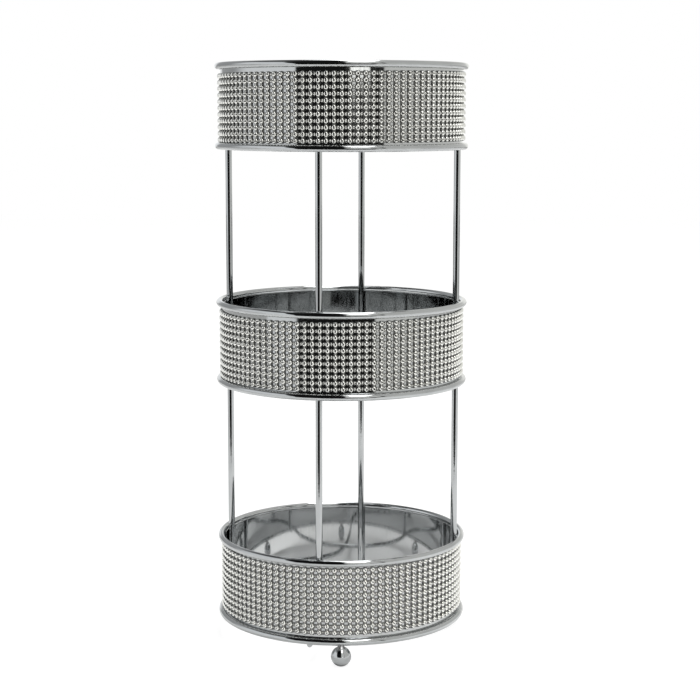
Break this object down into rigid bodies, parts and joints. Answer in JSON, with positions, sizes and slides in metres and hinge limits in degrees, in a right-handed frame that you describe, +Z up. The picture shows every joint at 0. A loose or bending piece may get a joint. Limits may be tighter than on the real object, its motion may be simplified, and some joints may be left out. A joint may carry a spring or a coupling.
{
  "type": "toilet roll holder",
  "caption": "Free-standing open wire tower that stores spare toilet rolls, with studded chrome bands and ball feet.",
  "frame": {"origin": "on the floor, on the axis of the rings; the front foot stands 4 mm proud of the rings, so the box's middle lies 2 mm further forward", "axes": "+Z up along the tower's axis, -Y to the front where the front foot is, +X to the right"},
  "size_m": [0.154, 0.158, 0.3533],
  "materials": {
    "chrome_wire": "bright chrome plate on steel wire",
    "polished_liner": "mirror-bright plated steel strip",
    "stud_mesh": "metallised silver plastic mesh with domed studs",
    "chrome_ball": "bright chrome plate on steel ball",
    "weld": "plated over, duller than the wire"
  },
  "bodies": {
    "root": {"top_ring_upper": "chrome_wire", "top_ring_lower": "chrome_wire", "middle_ring_upper": "chrome_wire", "middle_ring_lower": "chrome_wire", "base_ring_upper": "chrome_wire", "base_ring_lower": "chrome_wire", "top_liner": "polished_liner", "middle_liner": "polished_liner", "base_liner": "polished_liner", "top_stud_mesh": "stud_mesh", "middle_stud_mesh": "stud_mesh", "base_stud_mesh": "stud_mesh", "upright_front": "chrome_wire", "upright_right": "chrome_wire", "upright_back": "chrome_wire", "upright_left": "chrome_wire", "cross_wire_lower": "chrome_wire", "cross_wire_upper": "chrome_wire", "foot_ball_front": "chrome_ball", "foot_ball_right": "chrome_ball", "foot_ball_left": "chrome_ball", "foot_welds": "weld"}
  },
  "joints": []
}
